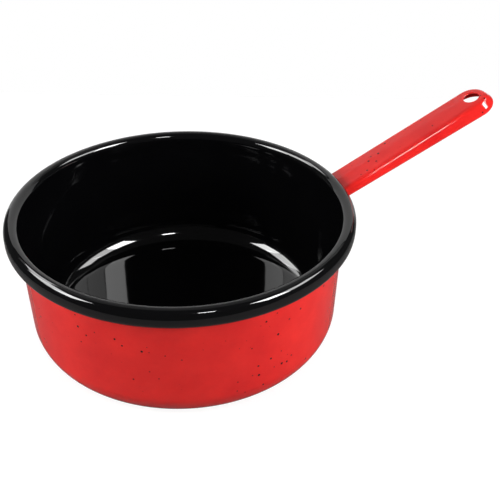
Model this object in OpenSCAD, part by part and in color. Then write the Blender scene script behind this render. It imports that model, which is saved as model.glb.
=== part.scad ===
// Enamelled steel saucepan with a welded, pressed steel handle.
// A drawn steel bowl with an outward-rolled rim carries black glass enamel inside and on the rim
// and red glass enamel outside. The handle is a pressed channel with inturned lips and a hanging hole.
// The frame: +Z up, the origin on the bowl's axis at the level it stands on, the handle along +X.

/* [Bowl] */
// Outer diameter over the rolled rim
rim_d = 200; // [140:1:280]
// Overall height from the standing face to the top of the rim
bowl_h = 79.5; // [60:0.5:140]
// Thickness of the drawn steel sheet
sheet_t = 0.8; // [0.5:0.1:1.2]
// Thickness of one coat of enamel
coat_t = 0.4; // [0.2:0.05:0.5]
// Lean of the wall away from the vertical, in degrees
wall_lean = 1.4; // [0.5:0.1:6]
// Radius of the belly, where the wall curves in towards the base
belly_r = 18; // [12:1:50]
// How far the belly turns before the base edge, in degrees below the horizontal
belly_turn = 60; // [20:1:75]
// Radius of the edge between the belly and the flat base
base_edge_r = 4; // [3:0.5:12]

/* [Rolled rim] */
// Width of the rolled rim, measured outwards from the inside of the wall
rim_w = 8.6; // [7:0.1:12]
// Height of the rolled rim
rim_h = 11.2; // [9:0.1:16]
// Gap left between the tucked edge of the roll and the wall
curl_gap = 0.3; // [0.1:0.05:0.6]

/* [Handle] */
// Length along the handle, from the outer side of the rim to the tip
handle_l = 109; // [80:1:200]
// Width across the round end
end_w = 22.6; // [18:0.1:32]
// Turn of each side from the handle's middle line, in degrees, so that the root is the narrower end
side_turn = 0.6; // [0.3:0.1:2]
// Slope of the handle's top above the horizontal, in degrees
handle_slope = 25; // [0:0.5:35]
// Height of the handle's top over the middle of the rim, at the rim's outer side
handle_lift = 0.3; // [-2:0.1:2]
// Depth of the channel where it leaves the rim
root_depth = 6.4; // [5:0.1:9]
// Depth of the channel at the middle of the round end
tip_depth = 8.6; // [7:0.1:14]
// Radius of the pressed edges along the top
top_edge_r = 2.6; // [2:0.1:4]
// Radius of the folded edges along the underside
lip_edge_r = 2.4; // [2:0.1:4]
// Width of the inturned lip at the round end, inside the side wall
lip_w = 2.4; // [1:0.1:4]
// Diameter of the hanging hole, enamel included
hole_d = 9.4; // [6:0.1:12]
// Distance from the middle of the hanging hole to the tip
hole_inset = 8.6; // [8:0.1:16]
// Leg of the weld inside the handle's root
weld_leg = 1.8; // [1:0.1:3]

/* [Hidden] */
$fn = 180;

// Thickness of the finished wall: steel with a coat on each face
wall_t = sheet_t + 2 * coat_t;
// How far a cut runs past the face it opens
overrun = 1;
// How far an arc stands past the face it runs into, so that the two cross cleanly
arc_bite = 0.02;
// How far the underside's blank stands outside the top's, so that their sides never coincide
blank_bite = 0.05;

// Rolled rim: an upright oval of two half circles, r out from the axis and z up
rim_r = rim_d / 2;
rim_mid_r = rim_r - rim_w / 2;
rim_mid_z = bowl_h - rim_h / 2;
rim_rise = (rim_h - rim_w) / 2;
rim_foot_z = bowl_h - rim_h;

// Wall: upright behind the rim, and leaning below it down to the belly
wall_top_r = rim_r - rim_w + wall_t;
belly_reach = belly_r - arc_bite;
edge_reach = belly_r - base_edge_r + arc_bite;
belly_z = base_edge_r + edge_reach * sin(belly_turn);
wall_foot_z = belly_z - belly_reach * sin(wall_lean);
wall_foot_r = wall_top_r - (rim_foot_z - wall_foot_z) * tan(wall_lean);
belly_mid_r = wall_foot_r - belly_reach * cos(wall_lean);
base_r = belly_mid_r + edge_reach * cos(belly_turn);

// Handle: its own frame has x along the top, y across and z out of the top
half_end_w = end_w / 2;
tip_mid_x = handle_l - half_end_w;
hole_x = handle_l - hole_inset;
half_root_w = half_end_w - tip_mid_x * tan(side_turn);
slot_half_w = half_end_w - wall_t - lip_w;
weld_half_w = half_root_w - wall_t - weld_leg;
underside_tilt = atan((tip_depth - root_depth) / tip_mid_x);
// How far the handle's blank runs in under the rim before the bowl trims it
root_run = (rim_w + wall_t) / cos(handle_slope);
blank_l = tip_mid_x + root_run;
// Depth that each blank is made to before the other's face trims it
blank_depth = 2 * tip_depth;

// A slice of a disc between two angles, both counted from +x
module pie(radius, from_angle, to_angle) {
    reach = 2 * radius;
    intersection() {
        circle(r = radius);
        polygon([
            [0, 0],
            reach * [cos(from_angle), sin(from_angle)],
            reach * [cos(to_angle), sin(to_angle)]
        ]);
    }
}

// Everything inside the bowl's outer face up to the rim's middle, with that face moved in by inset
module bowl_fill(inset) {
    foot_reach = belly_reach - inset;
    union() {
        polygon([
            [0, inset],
            [base_r, inset],
            [belly_mid_r + foot_reach * cos(wall_lean), belly_z - foot_reach * sin(wall_lean)],
            [wall_top_r - inset, rim_foot_z + inset * tan(wall_lean / 2)],
            [wall_top_r - inset, rim_mid_z],
            [0, rim_mid_z]
        ]);
        translate([belly_mid_r, belly_z])
            pie(belly_r - inset, -belly_turn, belly_turn);
        translate([base_r, base_edge_r])
            circle(r = base_edge_r - inset);
    }
}

// A layer of the wall and base between two depths under the outer face
module wall_layer(from_inset, to_inset) {
    difference() {
        bowl_fill(from_inset);
        bowl_fill(to_inset);
    }
}

// The rolled rim's filled oval, moved in by inset
module rim_oval(inset) {
    oval_w = rim_w - 2 * inset;
    translate([rim_mid_r, rim_mid_z])
        union() {
            translate([0, rim_rise])
                circle(d = oval_w);
            translate([0, -rim_rise])
                circle(d = oval_w);
            square([oval_w, 2 * rim_rise], center = true);
        }
}

module rim_layer(from_inset, to_inset) {
    difference() {
        rim_oval(from_inset);
        rim_oval(to_inset);
    }
}

// The steel: drawn wall and base, and the sheet rolled outwards and tucked back against the wall
module bowl_section() {
    union() {
        wall_layer(coat_t, coat_t + sheet_t);
        difference() {
            rim_layer(coat_t, coat_t + sheet_t);
            translate([0, rim_foot_z])
                square([wall_top_r - coat_t + curl_gap, rim_mid_z - rim_rise - rim_foot_z]);
        }
    }
}

// The bowl and its rim as one filled outline, with the outer face moved in by inset
module envelope_section(inset) {
    union() {
        bowl_fill(inset);
        rim_oval(inset);
    }
}

module bowl_envelope(inset) {
    rotate_extrude()
        envelope_section(inset);
}

// Half of the top's section, from the middle out to the side wall
module top_half_section(half_w, inset) {
    union() {
        translate([0, -blank_depth])
            square([half_w - inset, blank_depth - top_edge_r]);
        translate([0, -blank_depth])
            square([half_w - top_edge_r, blank_depth - inset]);
        translate([half_w - top_edge_r, -top_edge_r])
            circle(r = top_edge_r - inset);
    }
}

// Half of the underside's section: the side wall folds in at the bottom
module under_half_section(half_w, inset) {
    union() {
        translate([0, lip_edge_r])
            square([half_w - inset, blank_depth]);
        translate([0, inset])
            square([half_w - lip_edge_r, blank_depth]);
        translate([half_w - lip_edge_r, lip_edge_r])
            circle(r = lip_edge_r - inset);
    }
}

// One side of the blank: the half section given as the child, run along that side's own turn
module turned_run(side) {
    mirror([0, side, 0])
        rotate([0, 0, side_turn])
            translate([-blank_l, 0, 0])
                rotate([90, 0, 90])
                    linear_extrude(blank_l)
                        children();
}

// The filled form of the top, about the middle of the round end
module top_blank(inset) {
    union() {
        for (side = [0, 1])
            turned_run(side)
                top_half_section(half_end_w - arc_bite, inset);
        rotate_extrude()
            top_half_section(half_end_w, inset);
    }
}

// The filled form of the underside, deeper towards the tip
module under_blank(inset) {
    translate([0, 0, -tip_depth])
        rotate([0, underside_tilt, 0])
            union() {
                for (side = [0, 1])
                    turned_run(side)
                        under_half_section(half_end_w - arc_bite + blank_bite, inset);
                rotate_extrude()
                    under_half_section(half_end_w + blank_bite, inset);
            }
}

// The whole handle as a filled form, with every face moved in by inset
module handle_form(inset) {
    translate([tip_mid_x, 0, 0])
        intersection() {
            top_blank(inset);
            under_blank(inset);
        }
}

// The opening between the lips, from under the rim to the round end
module underside_slot(inset) {
    slot_w = 2 * (slot_half_w + inset);
    slot_h = blank_depth - wall_t - inset;
    translate([tip_mid_x, 0, -blank_depth])
        union() {
            translate([-blank_l, -slot_w / 2, 0])
                cube([blank_l, slot_w, slot_h]);
            cylinder(d = slot_w, h = slot_h);
        }
}

module hanging_hole(inset) {
    translate([hole_x, 0, -blank_depth])
        cylinder(d = hole_d + 2 * inset, h = blank_depth + overrun);
}

// Sets the handle's own frame on the outer side of the rim
module at_handle() {
    translate([rim_r, 0, rim_mid_z + handle_lift])
        rotate([0, -handle_slope, 0])
            children();
}

// The drawn bowl with its rolled rim
module bowl() {
    color("silver")
        rotate_extrude()
            bowl_section();
}

// Black coat over the whole inside, up to the middle of the rim
module inner_enamel() {
    color("#101012")
        rotate_extrude()
            wall_layer(coat_t + sheet_t, wall_t);
}

// Red coat over the outside and the base, up into the crease under the rim
module outer_enamel() {
    color("#c4262b")
        difference() {
            rotate_extrude()
                difference() {
                    wall_layer(0, coat_t);
                    rim_oval(coat_t);
                }
            handle();
            root_weld();
        }
}

// Black coat round the rolled rim, broken where the handle runs in under it
module rim_enamel() {
    color("#17171a")
        difference() {
            rotate_extrude()
                difference() {
                    rim_layer(0, coat_t);
                    bowl_fill(0);
                }
            at_handle()
                handle_form(coat_t);
        }
}

// The pressed channel: flat top, side walls, inturned lips, hanging hole and a saddle-cut root
module handle() {
    color("gainsboro")
        difference() {
            at_handle()
                difference() {
                    handle_form(coat_t);
                    handle_form(coat_t + sheet_t);
                    underside_slot(coat_t);
                    hanging_hole(coat_t);
                }
            bowl_envelope(coat_t);
        }
}

// Red coat over both faces of the channel, its lips and the edge of the hanging hole
module handle_enamel() {
    color("#c4262b")
        difference() {
            at_handle()
                difference() {
                    handle_form(0);
                    handle_form(wall_t);
                    underside_slot(0);
                    hanging_hole(0);
                }
            handle();
            root_weld();
            bowl_envelope(0);
        }
}

// Weld between the bowl and the inside of the channel, along the top and down both sides
module root_weld() {
    color("dimgray")
        intersection() {
            rotate_extrude()
                difference() {
                    envelope_section(-weld_leg);
                    envelope_section(coat_t);
                }
            at_handle()
                difference() {
                    handle_form(coat_t + sheet_t);
                    translate([-root_run, -weld_half_w, -blank_depth])
                        cube([2 * root_run, 2 * weld_half_w, blank_depth - wall_t - weld_leg]);
                }
        }
}

bowl();
inner_enamel();
outer_enamel();
rim_enamel();
handle();
handle_enamel();
root_weld();
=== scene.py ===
"""Looks of an enamelled steel saucepan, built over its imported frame.

The pan is one drawn bowl with a rolled rim and one pressed channel handle, welded together and then
enamelled: black glass inside and round the rim, speckled red glass outside and over the handle.
Everything is in metres in the frame's own axes, with Z up and the handle along +X.
"""

import logging
import math
from dataclasses import dataclass
from enum import Enum
from typing import Callable

import bpy
import bmesh
from mathutils import Matrix, Vector


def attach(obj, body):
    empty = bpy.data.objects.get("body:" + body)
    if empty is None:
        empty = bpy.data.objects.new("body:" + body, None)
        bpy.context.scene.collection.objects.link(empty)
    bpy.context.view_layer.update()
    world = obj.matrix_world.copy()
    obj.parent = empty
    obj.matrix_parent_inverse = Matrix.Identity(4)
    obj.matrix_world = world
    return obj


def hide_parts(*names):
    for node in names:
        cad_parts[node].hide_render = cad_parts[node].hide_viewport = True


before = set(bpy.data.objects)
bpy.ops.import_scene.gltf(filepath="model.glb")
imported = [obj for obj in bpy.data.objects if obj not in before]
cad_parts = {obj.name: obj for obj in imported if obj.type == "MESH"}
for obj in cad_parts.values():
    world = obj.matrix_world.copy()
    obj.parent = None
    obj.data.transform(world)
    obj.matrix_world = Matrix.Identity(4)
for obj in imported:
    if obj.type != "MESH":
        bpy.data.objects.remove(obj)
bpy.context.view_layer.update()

LOG = logging.getLogger("saucepan")
MM = 0.001
BODY = "root"
NEAR = 0.01 * MM
SAME_POINT = 0.001 * MM
WHITE = (1.0, 1.0, 1.0, 1.0)


class Slot(Enum):
    """The record's material slots for the two enamels."""

    BLACK = "black_enamel"
    RED = "red_enamel"


class Plane(Enum):
    """The plane a section is drawn in, by the way it faces whoever draws it."""

    UPRIGHT_ALONG = (0.0, -1.0, 0.0)
    UPRIGHT_ACROSS = (1.0, 0.0, 0.0)


class Mix:
    """The Mix node's sockets by number, because several of them share a name."""

    SHARE = 0
    FLOAT_A = 2
    FLOAT_B = 3
    COLOR_A = 6
    COLOR_B = 7
    COLOR_OUT = 2


def linear(code: str) -> tuple[float, float, float, float]:
    """Turns an sRGB hex colour into the linear colour that a shader takes.

    Args:
        code: Six hex digits after a hash, such as "#c81e20".

    Returns:
        Linear red, green, blue and an alpha of one.
    """
    shares = [int(code[i:i + 2], 16) / 255 for i in (1, 3, 5)]
    plain = [s / 12.92 if s <= 0.04045 else ((s + 0.055) / 1.055) ** 2.4 for s in shares]
    return (plain[0], plain[1], plain[2], 1.0)


def per(size: float) -> float:
    """Returns the texture scale at which one feature measures size metres."""
    return 1 / size


def add_node(
    tree: bpy.types.NodeTree,
    kind: str,
    values: dict | None = None,
    links: dict | None = None,
    **settings: object,
) -> bpy.types.Node:
    """Adds one node with its settings, input values and incoming links.

    Args:
        tree: The node tree to add to.
        kind: The node's type name.
        values: Input socket name or number to its value.
        links: Input socket name or number to the output socket that feeds it.
        **settings: The node's own properties.

    Returns:
        The new node.
    """
    node = tree.nodes.new(kind)
    for name, value in settings.items():
        setattr(node, name, value)
    for socket, value in (values or {}).items():
        node.inputs[socket].default_value = value
    for socket, source in (links or {}).items():
        tree.links.new(source, node.inputs[socket])
    return node


def new_material(name: str) -> tuple[bpy.types.Material, bpy.types.NodeTree]:
    """Makes an empty node material.

    Args:
        name: The finish's real name.

    Returns:
        The material and its node tree.
    """
    material = bpy.data.materials.new(name)
    material.use_nodes = True
    material.node_tree.nodes.clear()
    return material, material.node_tree


class Drawing:
    """A mesh drawn in edit mode with Blender's own operators, as a profile is before it is spun."""

    def __init__(self, name: str, plane: Plane) -> None:
        """Starts an empty mesh object and enters edit mode.

        Args:
            name: The piece's name.
            plane: The plane its sections are drawn in.
        """
        bpy.ops.object.select_all(action="DESELECT")
        bpy.ops.mesh.primitive_plane_add(size=MM)
        self.piece = bpy.context.active_object
        self.piece.name = name
        self.piece.data.name = name
        self.facing = Vector(plane.value)
        self.end = Vector((0, 0, 0))
        bpy.ops.object.mode_set(mode="EDIT")
        bpy.ops.mesh.select_mode(type="VERT")
        bpy.ops.mesh.delete(type="VERT")

    def put(self, at: Vector) -> None:
        """Sets down a single point, from which the next line or arc starts."""
        bpy.ops.mesh.primitive_plane_add(size=MM)
        bpy.ops.mesh.merge(type="CENTER")
        bpy.ops.transform.translate(value=at)
        self.end = at.copy()

    def line(self, to: Vector, parts: int = 1) -> None:
        """Extrudes the end point in a straight line.

        Args:
            to: Where the line ends.
            parts: How many edges the line has.
        """
        step = (to - self.end) / parts
        for _ in range(parts):
            bpy.ops.mesh.extrude_region_move(TRANSFORM_OT_translate={"value": step})
        self.end = to.copy()

    def arc(self, about: Vector, turn: float, steps: int) -> None:
        """Spins the end point round a centre.

        Args:
            about: The arc's centre.
            turn: The angle in degrees, anticlockwise in the drawing's plane.
            steps: How many edges the arc has.
        """
        angle = math.radians(turn)
        bpy.ops.mesh.spin(steps=steps, angle=-angle, center=about, axis=self.facing)
        self.end = about + Matrix.Rotation(angle, 3, self.facing) @ (self.end - about)

    def pick(self, test: Callable[[Vector], bool]) -> None:
        """Selects the vertices whose place passes a test, and the edges and faces between them."""
        mesh = bmesh.from_edit_mesh(self.piece.data)
        for vertex in mesh.verts:
            vertex.select_set(False)
        mesh.select_flush(False)
        for vertex in mesh.verts:
            if test(vertex.co):
                vertex.select_set(True)
        mesh.select_flush(True)
        bmesh.update_edit_mesh(self.piece.data)

    def weld(self) -> None:
        """Merges doubled points and turns every face outwards."""
        bpy.ops.mesh.select_all(action="SELECT")
        bpy.ops.mesh.remove_doubles(threshold=SAME_POINT)
        bpy.ops.mesh.normals_make_consistent(inside=False)

    def revolve(self, segments: int) -> None:
        """Spins the whole drawing round the upright axis through the origin."""
        bpy.ops.mesh.select_all(action="SELECT")
        bpy.ops.mesh.spin(steps=segments, angle=math.tau, center=(0, 0, 0), axis=(0, 0, 1))
        self.weld()

    def leave(self) -> bpy.types.Object:
        """Leaves edit mode and returns the piece, alone selected."""
        bpy.ops.object.mode_set(mode="OBJECT")
        bpy.ops.object.select_all(action="DESELECT")
        self.piece.select_set(True)
        bpy.context.view_layer.objects.active = self.piece
        return self.piece


def apply_modifier(piece: bpy.types.Object, kind: str, **settings: object) -> None:
    """Adds one modifier to a piece and applies it.

    Args:
        piece: The object to change.
        kind: The modifier's type name.
        **settings: The modifier's own properties.
    """
    bpy.ops.object.select_all(action="DESELECT")
    piece.select_set(True)
    bpy.context.view_layer.objects.active = piece
    modifier = piece.modifiers.new(kind.title(), kind)
    for name, value in settings.items():
        setattr(modifier, name, value)
    bpy.ops.object.modifier_apply(modifier=modifier.name)


def smooth(piece: bpy.types.Object, crease: float) -> None:
    """Shades a piece smooth, apart from edges sharper than crease degrees."""
    bpy.ops.object.select_all(action="DESELECT")
    piece.select_set(True)
    bpy.context.view_layer.objects.active = piece
    bpy.ops.object.shade_smooth_by_angle(angle=math.radians(crease))


def settle(
    piece: bpy.types.Object,
    material: bpy.types.Material,
    slot: Slot,
    *nodes: str,
) -> None:
    """Gives a finished piece its material and body, and hides the CAD nodes that it stands for.

    Args:
        piece: The finished object.
        material: Its finish.
        slot: The record's slot for that finish; not used.
        *nodes: The CAD nodes that it replaces.
    """
    piece.data.materials.clear()
    piece.data.materials.append(material)
    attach(piece, BODY)
    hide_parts(*nodes)
    LOG.info("%s: %d faces, for %s", piece.name, len(piece.data.polygons), ", ".join(nodes))


@dataclass(frozen=True)
class GlassSurface:
    """How the fused surface of a glass enamel lies: long slow waves and a fine orange peel.

    The waves are from the coat running before it fuses, and they make the edges of reflections wander.
    The peel is from the spray or dip and is 2 to 3 mm across.
    """

    wave: float = 17 * MM
    wave_rise: float = 0.055 * MM
    wave_detail: float = 1.0
    wave_roughness: float = 0.4
    peel: float = 2.6 * MM
    peel_rise: float = 0.0035 * MM
    peel_detail: float = 1.5

    def bump(self, tree: bpy.types.NodeTree, place: bpy.types.NodeSocket) -> bpy.types.NodeSocket:
        """Adds the waves and the peel.

        Args:
            tree: The material's node tree.
            place: Object coordinates.

        Returns:
            The bumped normal.
        """
        waves = add_node(
            tree, "ShaderNodeTexNoise",
            values={
                "Scale": per(self.wave), "Detail": self.wave_detail, "Roughness": self.wave_roughness,
            },
            links={"Vector": place},
        )
        peel = add_node(
            tree, "ShaderNodeTexNoise",
            values={"Scale": per(self.peel), "Detail": self.peel_detail},
            links={"Vector": place},
        )
        slow = add_node(
            tree, "ShaderNodeBump",
            values={"Distance": self.wave_rise},
            links={"Height": waves.outputs["Fac"]},
        )
        fine = add_node(
            tree, "ShaderNodeBump",
            values={"Distance": self.peel_rise},
            links={"Height": peel.outputs["Fac"], "Normal": slow.outputs["Normal"]},
        )
        return fine.outputs["Normal"]


@dataclass(frozen=True)
class SpeckledRedEnamel:
    """Red vitreous enamel on steel: glossy, slightly cloudy, with sparse burnt specks in the glass.

    The clouds are where the coat is thicker. A speck is a burnt grain, mostly 0.5 to 1 mm across, and
    the specks gather loosely, because the cluster noise decides how many of the cells have one.
    """

    name: str = "speckled_red_vitreous_enamel"
    red: str = "#e12722"
    deep_red: str = "#cd1d1c"
    burnt: str = "#3c090b"
    ior: float = 1.5
    roughness: float = 0.055
    cloud: float = 28 * MM
    cloud_detail: float = 5.0
    cloud_roughness: float = 0.62
    cloud_range: tuple[float, float] = (0.3, 0.7)
    cell: float = 3.7 * MM
    largest_speck_r: float = 0.8 * MM
    speck_edge: float = 0.14 * MM
    speck_range: tuple[float, float] = (0.15, 0.9)
    cluster: float = 34 * MM
    cluster_range: tuple[float, float] = (0.38, 0.62)
    sparse_share: float = 0.25
    surface: GlassSurface = GlassSurface()

    def specks(self, tree: bpy.types.NodeTree, place: bpy.types.NodeSocket) -> bpy.types.NodeSocket:
        """Scatters the specks, one in each cell, fewer where the cluster noise is low.

        Args:
            tree: The material's node tree.
            place: Object coordinates.

        Returns:
            One inside a speck and zero outside.
        """
        cells = add_node(
            tree, "ShaderNodeTexVoronoi",
            values={"Scale": per(self.cell)},
            links={"Vector": place},
        )
        lot = add_node(tree, "ShaderNodeSeparateColor", links={"Color": cells.outputs["Color"]})
        clusters = add_node(
            tree, "ShaderNodeTexNoise",
            values={"Scale": per(self.cluster), "Detail": 0.0},
            links={"Vector": place},
        )
        share = add_node(
            tree, "ShaderNodeMapRange",
            values={
                "From Min": self.cluster_range[0], "From Max": self.cluster_range[1],
                "To Min": self.sparse_share,
            },
            links={"Value": clusters.outputs["Fac"]},
        )
        drawn = add_node(
            tree, "ShaderNodeMath", operation="MULTIPLY",
            links={0: lot.outputs["Red"], 1: share.outputs["Result"]},
        )
        radius = add_node(
            tree, "ShaderNodeMapRange",
            values={
                "From Min": self.speck_range[0], "From Max": self.speck_range[1],
                "To Max": self.largest_speck_r / self.cell,
            },
            links={"Value": drawn.outputs[0]},
        )
        inside = add_node(
            tree, "ShaderNodeMath", operation="SUBTRACT",
            links={0: radius.outputs["Result"], 1: cells.outputs["Distance"]},
        )
        return add_node(
            tree, "ShaderNodeMapRange",
            values={"From Max": self.speck_edge / self.cell},
            links={"Value": inside.outputs[0]},
        ).outputs["Result"]

    def make(self) -> bpy.types.Material:
        """Builds the material."""
        material, tree = new_material(self.name)
        place = add_node(tree, "ShaderNodeTexCoord").outputs["Object"]
        clouds = add_node(
            tree, "ShaderNodeTexNoise",
            values={
                "Scale": per(self.cloud), "Detail": self.cloud_detail, "Roughness": self.cloud_roughness,
            },
            links={"Vector": place},
        )
        depth = add_node(
            tree, "ShaderNodeMapRange",
            values={"From Min": self.cloud_range[0], "From Max": self.cloud_range[1]},
            links={"Value": clouds.outputs["Fac"]},
        )
        glaze = add_node(
            tree, "ShaderNodeMix", data_type="RGBA",
            values={Mix.COLOR_A: linear(self.red), Mix.COLOR_B: linear(self.deep_red)},
            links={Mix.SHARE: depth.outputs["Result"]},
        )
        speck = self.specks(tree, place)
        spotted = add_node(
            tree, "ShaderNodeMix", data_type="RGBA",
            values={Mix.COLOR_B: linear(self.burnt)},
            links={Mix.SHARE: speck, Mix.COLOR_A: glaze.outputs[Mix.COLOR_OUT]},
        )
        shader = add_node(
            tree, "ShaderNodeBsdfPrincipled",
            values={"IOR": self.ior, "Roughness": self.roughness},
            links={
                "Base Color": spotted.outputs[Mix.COLOR_OUT],
                "Normal": self.surface.bump(tree, place),
            },
        )
        add_node(tree, "ShaderNodeOutputMaterial", links={"Surface": shader.outputs["BSDF"]})
        return material


@dataclass(frozen=True)
class BlackEnamel:
    """Black vitreous enamel on steel: a deep black glass that shows almost nothing but reflections."""

    name: str = "black_vitreous_enamel"
    black: str = "#040405"
    worn_black: str = "#070708"
    ior: float = 1.5
    roughness: float = 0.055
    cloud: float = 22 * MM
    cloud_detail: float = 4.0
    surface: GlassSurface = GlassSurface()

    def make(self) -> bpy.types.Material:
        """Builds the material."""
        material, tree = new_material(self.name)
        place = add_node(tree, "ShaderNodeTexCoord").outputs["Object"]
        clouds = add_node(
            tree, "ShaderNodeTexNoise",
            values={"Scale": per(self.cloud), "Detail": self.cloud_detail},
            links={"Vector": place},
        )
        glaze = add_node(
            tree, "ShaderNodeMix", data_type="RGBA",
            values={Mix.COLOR_A: linear(self.black), Mix.COLOR_B: linear(self.worn_black)},
            links={Mix.SHARE: clouds.outputs["Fac"]},
        )
        shader = add_node(
            tree, "ShaderNodeBsdfPrincipled",
            values={"IOR": self.ior, "Roughness": self.roughness},
            links={
                "Base Color": glaze.outputs[Mix.COLOR_OUT],
                "Normal": self.surface.bump(tree, place),
            },
        )
        add_node(tree, "ShaderNodeOutputMaterial", links={"Surface": shader.outputs["BSDF"]})
        return material


@dataclass(frozen=True)
class SheetSteel:
    """Bare cold-rolled low-carbon steel: a grey metal with a fine grain drawn out by the rolling.

    It lies under the enamel, apart from a hidden patch of the roll's underside in the handle's root.
    """

    name: str = "cold_rolled_sheet_steel"
    grey: str = "#a9abae"
    dull: str = "#8b8d91"
    roughness: float = 0.38
    grain: float = 0.8 * MM
    grain_rise: float = 0.004 * MM
    grain_detail: float = 3.0
    grain_stretch: float = 0.08

    def make(self) -> bpy.types.Material:
        """Builds the material."""
        material, tree = new_material(self.name)
        place = add_node(tree, "ShaderNodeTexCoord").outputs["Object"]
        drawn_out = add_node(
            tree, "ShaderNodeMapping",
            values={"Scale": Vector((self.grain_stretch, 1, 1))},
            links={"Vector": place},
        )
        grain = add_node(
            tree, "ShaderNodeTexNoise",
            values={"Scale": per(self.grain), "Detail": self.grain_detail},
            links={"Vector": drawn_out.outputs["Vector"]},
        )
        tone = add_node(
            tree, "ShaderNodeMix", data_type="RGBA",
            values={Mix.COLOR_A: linear(self.grey), Mix.COLOR_B: linear(self.dull)},
            links={Mix.SHARE: grain.outputs["Fac"]},
        )
        rolled = add_node(
            tree, "ShaderNodeBump",
            values={"Distance": self.grain_rise},
            links={"Height": grain.outputs["Fac"]},
        )
        shader = add_node(
            tree, "ShaderNodeBsdfPrincipled",
            values={"Metallic": 1.0, "Roughness": self.roughness},
            links={
                "Base Color": tone.outputs[Mix.COLOR_OUT],
                "Normal": rolled.outputs["Normal"],
            },
        )
        add_node(tree, "ShaderNodeOutputMaterial", links={"Surface": shader.outputs["BSDF"]})
        return material


@dataclass(frozen=True)
class Bowl:
    """The drawn bowl with its rolled rim: flat base, belly, leaning wall and an upright oval roll.

    Angles are in degrees. A field that ends in edges or steps is a count of edges in the profile.
    """

    rim_r: float = 100 * MM
    height: float = 79.5 * MM
    wall: float = 1.6 * MM
    coat: float = 0.4 * MM
    lean: float = 1.4
    belly_r: float = 18 * MM
    belly_turn: float = 60.0
    edge_r: float = 4 * MM
    roll_w: float = 8.6 * MM
    roll_h: float = 11.2 * MM
    wall_blend_r: float = 60 * MM
    tuck: float = 129.0
    base_edges: int = 14
    edge_steps: int = 8
    belly_steps: int = 22
    wall_edges: int = 12
    blend_steps: int = 3
    roll_steps: int = 22
    tuck_steps: int = 16
    segments: int = 256
    crease: float = 60.0

    @property
    def roll_mid(self) -> float:
        """Distance of the roll's middle from the axis."""
        return self.rim_r - self.roll_w / 2

    @property
    def roll_top_z(self) -> float:
        """Height of the centre of the roll's upper half circle."""
        return self.height - self.roll_w / 2

    @property
    def roll_low_z(self) -> float:
        """Height of the centre of the roll's lower half circle."""
        return self.height - self.roll_h + self.roll_w / 2

    @property
    def wall_top(self) -> Vector:
        """Where the wall's outer face turns upright, level with the foot of the roll."""
        return Vector((self.rim_r - self.roll_w + self.wall, 0, self.height - self.roll_h))

    @property
    def belly_mid(self) -> Vector:
        """Centre of the belly's arc."""
        reach = self.belly_r - self.edge_r
        z = self.edge_r + reach * math.sin(math.radians(self.belly_turn))
        lean = math.radians(self.lean)
        foot_z = z - self.belly_r * math.sin(lean)
        foot_r = self.wall_top.x - (self.wall_top.z - foot_z) * math.tan(lean)
        return Vector((foot_r - self.belly_r * math.cos(lean), 0, z))

    @property
    def edge_mid(self) -> Vector:
        """Centre of the arc between the belly and the flat base."""
        reach = self.belly_r - self.edge_r
        turn = math.radians(self.belly_turn)
        return self.belly_mid + reach * Vector((math.cos(turn), 0, -math.sin(turn)))

    def draw_side(self, pencil: Drawing, inset: float) -> None:
        """Draws one face of the bowl from the middle of the base to where the wall turns upright.

        Args:
            pencil: The drawing to add to.
            inset: How far the face lies inside the bowl's outer face.
        """
        edge = self.edge_mid
        pencil.put(Vector((0, 0, inset)))
        pencil.line(Vector((edge.x, 0, inset)), self.base_edges)
        pencil.arc(edge, 90 - self.belly_turn, self.edge_steps)
        pencil.arc(self.belly_mid, self.belly_turn - self.lean, self.belly_steps)
        lean = math.radians(self.lean)
        blend = self.wall_blend_r * math.tan(lean / 2)
        corner = self.wall_top + Vector((-inset, 0, inset * math.tan(lean / 2)))
        up_wall = Vector((math.sin(lean), 0, math.cos(lean)))
        pencil.line(corner - blend * up_wall, self.wall_edges)
        into = Vector((-math.cos(lean), 0, math.sin(lean)))
        pencil.arc(pencil.end + self.wall_blend_r * into, self.lean, self.blend_steps)

    def build_black(self) -> bpy.types.Object:
        """Models the black glass: the whole inside, and on over the roll to its tuck at the wall."""
        pencil = Drawing("black_enamel", Plane.UPRIGHT_ALONG)
        self.draw_side(pencil, self.wall)
        pencil.line(Vector((self.rim_r - self.roll_w, 0, self.roll_top_z)), parts=3)
        pencil.arc(Vector((self.roll_mid, 0, self.roll_top_z)), -180, self.roll_steps)
        pencil.line(Vector((self.rim_r, 0, self.roll_low_z)), parts=2)
        pencil.arc(Vector((self.roll_mid, 0, self.roll_low_z)), -self.tuck, self.tuck_steps)
        pencil.revolve(self.segments)
        return self.thicken(pencil.leave())

    def build_red(self) -> bpy.types.Object:
        """Models the red glass: the base, the belly and the wall, up behind the roll."""
        pencil = Drawing("red_body_enamel", Plane.UPRIGHT_ALONG)
        self.draw_side(pencil, 0.0)
        pencil.line(Vector((self.wall_top.x, 0, self.roll_low_z)), parts=2)
        pencil.revolve(self.segments)
        return self.thicken(pencil.leave())

    def thicken(self, piece: bpy.types.Object) -> bpy.types.Object:
        """Gives a drawn face the coat's thickness, inwards to the steel."""
        apply_modifier(piece, "SOLIDIFY", thickness=self.coat, offset=-1.0, use_even_offset=True)
        smooth(piece, self.crease)
        return piece


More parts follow.
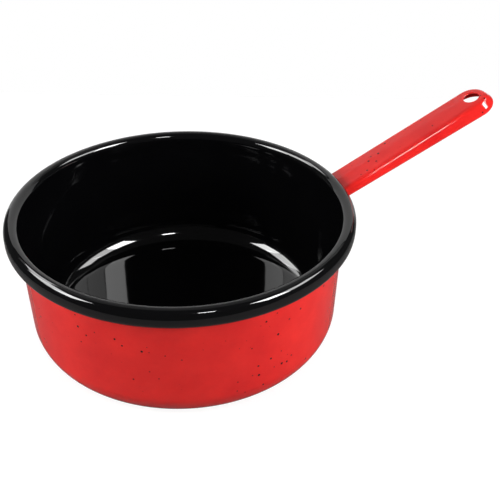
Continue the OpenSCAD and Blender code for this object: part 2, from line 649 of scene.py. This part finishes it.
@dataclass(frozen=True)
class Handle:
    """The pressed channel: crowned top, rolled edges, flared sides, turned-under rims and a round end.

    It is modelled along X with its top at Z zero and the root's crossing of the rim at the origin,
    and is then tilted and set on the bowl, a little to the left of its middle plane, as in the photo.
    Angles are in degrees, and flare is how far a side's facing turns from the top's. A field that ends
    in edges or steps is a count of edges in the section.
    """

    end_mid: float = 99.3 * MM
    flat_w: float = 16.2 * MM
    side_turn: float = -0.35
    flare: float = 55.0
    slope: float = 25.0
    start: Vector = Vector((100 * MM, 0.9 * MM, 74.2 * MM))
    root_depth: float = 5.6 * MM
    tip_depth: float = 7.9 * MM
    edge_r: float = 3.0 * MM
    lip_r: float = 1.65 * MM
    lip_run: float = 0.1 * MM
    wall: float = 1.6 * MM
    coat: float = 0.4 * MM
    crown: float = 0.3 * MM
    hole_r: float = 4.7 * MM
    hole_at: float = 100.4 * MM
    hole_roll: float = 0.72 * MM
    hole_turn: float = 80.0
    hole_reach: float = 0.45 * MM
    root_run: float = 13 * MM
    buried_x: float = 92.2 * MM
    rim_share: float = 0.55
    crown_steps: int = 8
    bend_steps: int = 10
    side_edges: int = 4
    lip_steps: int = 9
    rim_steps: int = 8
    inner_lip_steps: int = 5
    inner_bend_steps: int = 6
    cuts: int = 39
    end_steps: int = 48
    hole_steps: int = 6
    hole_segments: int = 96
    crease: float = 50.0

    @property
    def underside_tilt(self) -> float:
        """Angle in degrees by which the underside drops away from the top."""
        return math.degrees(math.atan((self.tip_depth - self.root_depth) / self.end_mid))

    def draw_half(self, pencil: Drawing, along: float) -> None:
        """Draws half of the channel's section, from the top's middle down the flared side and back.

        Args:
            pencil: The drawing to add to.
            along: Distance of the section from the start.
        """
        back = self.end_mid - along
        flat = self.flat_w / 2 - back * math.tan(math.radians(self.side_turn))
        depth = self.tip_depth - back * math.tan(math.radians(self.underside_tilt))
        crown_r = (flat ** 2 + self.crown ** 2) / (2 * self.crown)
        drop = math.degrees(math.asin(flat / crown_r))
        crown_mid = Vector((along, 0, -crown_r))
        pencil.put(Vector((along, 0, 0)))
        pencil.arc(crown_mid, -drop, self.crown_steps)
        bend_mid = pencil.end + self.edge_r / crown_r * (crown_mid - pencil.end)
        flare = math.radians(self.flare)
        facing = Vector((0, math.sin(flare), math.cos(flare)))
        down = Vector((0, math.cos(flare), -math.sin(flare)))
        step = (self.edge_r - self.lip_r) * facing
        run = (bend_mid.z + step.z + depth - self.lip_r) / math.sin(flare)
        lip_mid = bend_mid + step + run * down
        pencil.arc(bend_mid, drop - self.flare, self.bend_steps)
        pencil.line(lip_mid + self.lip_r * facing, self.side_edges)
        pencil.arc(lip_mid, self.flare - 180, self.lip_steps)
        edge_mid = lip_mid + Vector((0, -self.lip_run, self.wall / 2 - self.lip_r))
        pencil.line(edge_mid - Vector((0, 0, self.wall / 2)))
        pencil.arc(edge_mid, -180, self.rim_steps)
        pencil.line(lip_mid - Vector((0, 0, self.lip_r - self.wall)))
        pencil.arc(lip_mid, 180 - self.flare, self.inner_lip_steps)
        pencil.line(bend_mid + (self.edge_r - self.wall) * facing, self.side_edges)
        pencil.arc(bend_mid, self.flare - drop, self.inner_bend_steps)
        pencil.arc(crown_mid, drop, self.crown_steps)

    def build(self) -> bpy.types.Object:
        """Models the red glass over the whole channel."""
        pencil = Drawing("red_handle_enamel", Plane.UPRIGHT_ACROSS)
        end = self.end_mid
        self.draw_half(pencil, -self.root_run)
        self.draw_half(pencil, end)
        bpy.ops.mesh.select_all(action="SELECT")
        bpy.ops.mesh.bridge_edge_loops(number_cuts=self.cuts, interpolation="LINEAR")
        bpy.ops.mesh.select_all(action="SELECT")
        bpy.ops.mesh.duplicate()
        bpy.ops.transform.resize(value=(1, -1, 1), center_override=(0, 0, 0))
        pencil.pick(lambda p: abs(p.x - end) < NEAR and p.y > -NEAR)
        bpy.ops.mesh.spin(steps=self.end_steps, angle=math.pi, center=(end, 0, 0), axis=(0, 0, 1))
        pencil.weld()
        pencil.pick(lambda p: p.x > end + NEAR and p.z < -self.rim_share * self.tip_depth)
        bpy.ops.transform.rotate(
            value=-math.radians(self.underside_tilt),
            orient_axis="Y",
            center_override=(end, 0, -self.tip_depth),
        )
        pencil.pick(lambda p: p.x < NEAR - self.root_run)
        bpy.ops.mesh.edge_face_add()
        pencil.weld()
        self.bore(pencil)
        bpy.ops.mesh.select_all(action="SELECT")
        bpy.ops.transform.rotate(
            value=math.radians(self.slope), orient_axis="Y", center_override=(0, 0, 0)
        )
        bpy.ops.transform.translate(value=self.start)
        bpy.ops.mesh.bisect(
            plane_co=(self.buried_x, 0, 0), plane_no=(1, 0, 0), use_fill=True, clear_inner=True
        )
        bpy.ops.mesh.select_all(action="SELECT")
        bpy.ops.mesh.normals_make_consistent(inside=False)
        piece = pencil.leave()
        apply_modifier(piece, "SOLIDIFY", thickness=self.coat, offset=-1.0)
        smooth(piece, self.crease)
        return piece

    def draw_drill(self) -> bpy.types.Object:
        """Models the cutter for the hanging hole, flared at both faces so that it leaves rolled lips."""
        drill = Drawing("drill", Plane.UPRIGHT_ALONG)
        roll = self.hole_roll
        lip_r = self.hole_r + roll
        outer_r = lip_r + self.hole_reach
        rise = self.hole_reach * math.tan(math.radians(90 - self.hole_turn))
        drill.put(Vector((0, 0, -2 * self.wall)))
        drill.line(Vector((outer_r, 0, -2 * self.wall)))
        drill.line(Vector((outer_r, 0, -self.wall - rise)))
        turn = math.radians(180 + self.hole_turn)
        low_mid = Vector((lip_r, 0, roll - self.wall))
        drill.line(low_mid + roll * Vector((math.cos(turn), 0, math.sin(turn))))
        drill.arc(low_mid, -self.hole_turn, self.hole_steps)
        drill.line(Vector((self.hole_r, 0, -roll)))
        drill.arc(Vector((lip_r, 0, -roll)), -self.hole_turn, self.hole_steps)
        drill.line(Vector((outer_r, 0, rise)))
        drill.line(Vector((outer_r, 0, self.wall)))
        drill.line(Vector((0, 0, self.wall)))
        drill.revolve(self.hole_segments)
        bpy.ops.transform.translate(value=(self.hole_at, 0, 0))
        return drill.leave()

    def bore(self, pencil: Drawing) -> None:
        """Cuts the hanging hole with its rolled lips, and comes back in edit mode.

        Args:
            pencil: The channel's drawing, in edit mode.
        """
        piece = pencil.leave()
        drill = self.draw_drill()
        apply_modifier(piece, "BOOLEAN", operation="DIFFERENCE", solver="EXACT", object=drill)
        bpy.data.objects.remove(drill)
        bpy.ops.object.mode_set(mode="EDIT")


@dataclass(frozen=True)
class Ground:
    """Pale floor the pan stands on, with a white ground that rises behind it and shows only in gloss.

    Both are seen blown out to white. The floor's own tone is lower, so that the gloss shows it greyer.
    """

    front: float = -0.21
    back: float = 0.34
    half_w: float = 0.44
    rise_r: float = 0.12
    rise_h: float = 0.47
    facing: float = 67.6
    paper: str = "#7b7b7b"
    back_paper: str = "#d4d4d4"
    paper_roughness: float = 0.9
    seen_white: float = 0.86

    def paper_material(self, name: str, tone: str) -> bpy.types.Material:
        """White paper that a camera sees blown out to white, with the pan's shadow kept.

        Args:
            name: The finish's name.
            tone: The paper's colour under light.

        Returns:
            The material.
        """
        material, tree = new_material(name)
        path = add_node(tree, "ShaderNodeLightPath")
        glow = add_node(
            tree, "ShaderNodeMath", operation="MULTIPLY",
            values={1: self.seen_white},
            links={0: path.outputs["Is Camera Ray"]},
        )
        shader = add_node(
            tree, "ShaderNodeBsdfPrincipled",
            values={
                "Base Color": linear(tone), "Roughness": self.paper_roughness,
                "Specular IOR Level": 0.0, "Emission Color": WHITE,
            },
            links={"Emission Strength": glow.outputs[0]},
        )
        add_node(tree, "ShaderNodeOutputMaterial", links={"Surface": shader.outputs["BSDF"]})
        return material

    def lay(self, sheet: Drawing, material: bpy.types.Material) -> bpy.types.Object:
        """Pulls a drawn line out into a sheet and turns its back to where the camera looks.

        Args:
            sheet: The drawing, in edit mode.
            material: The sheet's finish.

        Returns:
            The sheet, which is left out of the pan's body.
        """
        bpy.ops.mesh.select_all(action="SELECT")
        bpy.ops.mesh.extrude_region_move(TRANSFORM_OT_translate={"value": (0, 2 * self.half_w, 0)})
        sheet.weld()
        piece = sheet.leave()
        piece.data.transform(Matrix.Rotation(math.radians(self.facing), 4, "Z"))
        piece.data.materials.append(material)
        return piece

    def build(self) -> None:
        """Models the floor and the ground that rises behind it."""
        floor = Drawing("floor", Plane.UPRIGHT_ALONG)
        floor.put(Vector((self.front, -self.half_w, 0)))
        floor.line(Vector((self.back, -self.half_w, 0)), parts=6)
        self.lay(floor, self.paper_material("white_floor_paper", self.paper))
        rise = Drawing("rising_ground", Plane.UPRIGHT_ALONG)
        rise.put(Vector((self.back, -self.half_w, 0)))
        rise.arc(Vector((self.back, -self.half_w, self.rise_r)), 90, steps=12)
        rise.line(Vector((self.back + self.rise_r, -self.half_w, self.rise_h)), parts=2)
        back_paper = self.paper_material("white_ground_paper", self.back_paper)
        self.lay(rise, back_paper).visible_camera = False


class Role(Enum):
    """What a lamp is for: to show in the gloss, or to light the pigment."""

    GLOSS = "gloss"
    LIGHT = "light"


@dataclass(frozen=True)
class Softbox:
    """A rectangular softbox aimed at the pan, by its bearing, height and size as the pan sees them.

    Bearing, elevation, spread and rise are in degrees, and bearing is anticlockwise from the handle.
    What shows in the gloss and what lights the pigment are separate lamps, so that the gloss is as
    bright as a real softbox while the pan is lit at a plain level.
    """

    name: str
    role: Role
    bearing: float
    elevation: float
    spread: float
    rise: float
    level: float
    distance: float = 6.0

    def hang(self, aim: Vector) -> None:
        """Hangs the lamp.

        Args:
            aim: The point it faces.
        """
        turn = math.radians(self.bearing)
        lift = math.radians(self.elevation)
        away = Vector((math.cos(turn), math.sin(turn), math.tan(lift))).normalized()
        lamp = bpy.data.lights.new(self.name, "AREA")
        lamp.shape = "RECTANGLE"
        lamp.size = 2 * self.distance * math.tan(math.radians(self.spread / 2)) * math.cos(lift)
        lamp.size_y = 2 * self.distance * math.tan(math.radians(self.rise / 2))
        lamp.energy = self.level * math.pi * lamp.size * lamp.size_y
        holder = bpy.data.objects.new(self.name, lamp)
        holder.location = aim + self.distance * away
        holder.rotation_mode = "QUATERNION"
        holder.rotation_quaternion = (-away).to_track_quat("-Z", "Y")
        holder.visible_camera = False
        holder.visible_glossy = self.role is Role.GLOSS
        holder.visible_transmission = self.role is Role.GLOSS
        holder.visible_diffuse = self.role is Role.LIGHT
        bpy.context.scene.collection.objects.link(holder)


@dataclass(frozen=True)
class Studio:
    """The lamps and the room: a bank of softboxes to each side, a strip in front and a pale ceiling.

    The room is dark in the gloss, plain grey light to the pigment, and white where a camera looks.
    """

    aim: Vector = Vector((0, 0, 0.05))
    room_fill: float = 0.42
    room_gloss: float = 0.06
    softboxes: tuple[Softbox, ...] = (
        Softbox("left_softbox", Role.GLOSS, 169, 43, 21, 17, 19.0),
        Softbox("left_softbox_side", Role.GLOSS, 145, 43, 29, 16, 11.5),
        Softbox("left_softbox_edge", Role.GLOSS, 118, 44, 27, 10, 7.0),
        Softbox("right_softbox", Role.GLOSS, -44.5, 45, 21, 18, 32.0),
        Softbox("right_softbox_side", Role.GLOSS, -25, 44.5, 20, 16, 10.5),
        Softbox("right_softbox_edge", Role.GLOSS, -8, 43.5, 16, 13, 11.0),
        Softbox("front_strip", Role.GLOSS, -92, 52, 12, 3, 65.0),
        Softbox("pale_ceiling", Role.GLOSS, 70, 64, 100, 28, 0.25),
        Softbox("pale_ceiling_foot", Role.GLOSS, 75, 46, 90, 8, 0.5),
        Softbox("left_light", Role.LIGHT, 174, 23, 34, 24, 12.5, 0.9),
        Softbox("right_light", Role.LIGHT, -46, 23, 45, 25, 9.8, 0.9),
    )

    def light(self) -> None:
        """Hangs the softboxes and paints the world."""
        for softbox in self.softboxes:
            softbox.hang(self.aim)
        world = bpy.data.worlds.new("studio_room")
        world.use_nodes = True
        tree = world.node_tree
        tree.nodes.clear()
        path = add_node(tree, "ShaderNodeLightPath")
        level = add_node(
            tree, "ShaderNodeMix", data_type="FLOAT",
            values={Mix.FLOAT_A: self.room_fill, Mix.FLOAT_B: self.room_gloss},
            links={Mix.SHARE: path.outputs["Is Glossy Ray"]},
        )
        seen = add_node(
            tree, "ShaderNodeMix", data_type="FLOAT",
            values={Mix.FLOAT_B: 1.0},
            links={Mix.SHARE: path.outputs["Is Camera Ray"], Mix.FLOAT_A: level.outputs[0]},
        )
        room = add_node(
            tree, "ShaderNodeBackground",
            values={"Color": WHITE},
            links={"Strength": seen.outputs[0]},
        )
        add_node(tree, "ShaderNodeOutputWorld", links={"Surface": room.outputs["Background"]})
        bpy.context.scene.world = world


@dataclass(frozen=True)
class Viewpoint:
    """The photograph's viewpoint: in front of the pan, to the left, looking down into the bowl."""

    eye: Vector = Vector((-0.11463, -0.37966, 0.31595))
    towards: Vector = Vector((0.31709, 0.76503, -0.56051))
    roll: float = 0.83
    lens: float = 57.6
    sensor: float = 36.0
    nearest: float = 0.01
    farthest: float = 20.0

    def set(self) -> None:
        """Makes the camera and looks through it."""
        camera = bpy.data.cameras.new("camera")
        camera.lens = self.lens
        camera.sensor_width = self.sensor
        camera.clip_start = self.nearest
        camera.clip_end = self.farthest
        holder = bpy.data.objects.new("camera", camera)
        level = self.towards.to_track_quat("-Z", "Y").to_matrix().to_4x4()
        turned = level @ Matrix.Rotation(math.radians(self.roll), 4, "Z")
        holder.matrix_world = Matrix.Translation(self.eye) @ turned
        bpy.context.scene.collection.objects.link(holder)
        bpy.context.scene.camera = holder


def dress_frame_node(node: str, material: bpy.types.Material) -> None:
    """Gives a CAD node that stays in view its material.

    Args:
        node: The node's name.
        material: Its finish.
    """
    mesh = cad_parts[node].data
    mesh.materials.clear()
    mesh.materials.append(material)
    LOG.info("%s: kept, finished in %s", node, material.name)


def main() -> None:
    """Builds the pan and its studio."""
    logging.basicConfig(level=logging.INFO, format="%(name)s: %(message)s")
    bpy.context.scene.view_settings.view_transform = "Standard"
    Viewpoint().set()
    red = SpeckledRedEnamel().make()
    black = BlackEnamel().make()
    steel = SheetSteel().make()
    bowl = Bowl()
    handle = Handle()
    settle(bowl.build_black(), black, Slot.BLACK, "inner_enamel", "rim_enamel")
    settle(bowl.build_red(), red, Slot.RED, "outer_enamel")
    settle(handle.build(), red, Slot.RED, "handle_enamel", "handle")
    dress_frame_node("bowl", steel)
    dress_frame_node("root_weld", red)
    Ground().build()
    Studio().light()


if __name__ == "__main__":
    main()
